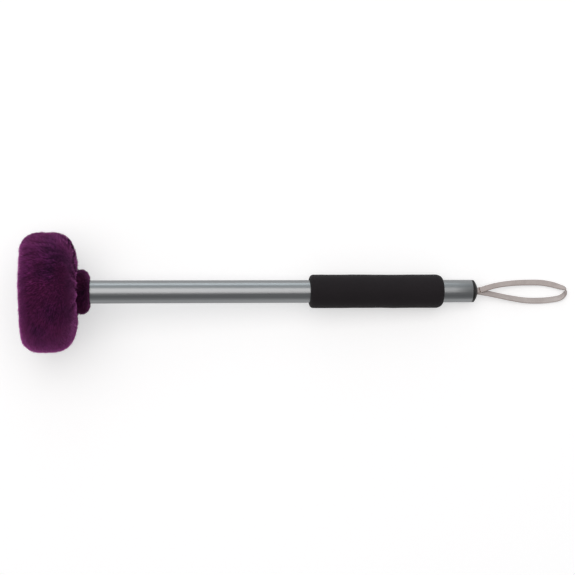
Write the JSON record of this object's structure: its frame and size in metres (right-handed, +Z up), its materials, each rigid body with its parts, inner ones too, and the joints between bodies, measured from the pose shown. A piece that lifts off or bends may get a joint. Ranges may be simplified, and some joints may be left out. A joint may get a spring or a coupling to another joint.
{
  "type": "gong mallet",
  "caption": "Gong mallet with a soft round fleece head on a weighted core, a satin metal tube shaft, a foam grip, a domed end cap and a leather wrist loop.",
  "frame": {"origin": "on the surface the mallet lies on, under the middle of its length from head to cap, without the loop", "axes": "+X along the mallet from the head to the loop, seen from above; +Z up from the surface; the shaft falls by 6.2 degrees towards +X"},
  "size_m": [0.5351, 0.115, 0.1143],
  "materials": {
    "satin_aluminium": "satin, drawn lengthwise",
    "purple_fleece": "short soft pile",
    "collar_fleece": "short soft pile, darker",
    "black_foam": "matt closed-cell foam",
    "black_rubber": "half matt",
    "pale_leather": "matt flat lace",
    "steel": "zinc plated",
    "brass": "turned",
    "beech": "turned, bare",
    "felt": "pressed felt",
    "batting": "soft wool batting",
    "waxed_cord": "waxed"
  },
  "bodies": {
    "mallet": {"shaft_tube": "satin_aluminium", "fleece_cover": "purple_fleece", "neck_collar": "collar_fleece", "foam_grip": "black_foam", "end_cap": "black_rubber", "strap_knot": "pale_leather", "strap_washer": "steel", "neck_cord": "waxed_cord", "padding_ring": "batting", "front_pad": "batting", "rear_pad": "batting", "felt_band": "felt", "head_core": "beech", "weight_ring": "steel", "clamp_washer": "steel", "lock_washer": "steel", "head_bolt": "steel", "shaft_plug": "beech", "threaded_insert": "brass", "cross_pin": "steel"},
    "strap": {"wrist_loop": "pale_leather"}
  },
  "joints": [
    {"name": "loop_swing", "type": "hinge", "parent": "mallet", "child": "strap", "pos_m": [0.22632, 0, 0.0108], "axis": [0, 0, 1], "range_deg": [-80, 80]}
  ]
}
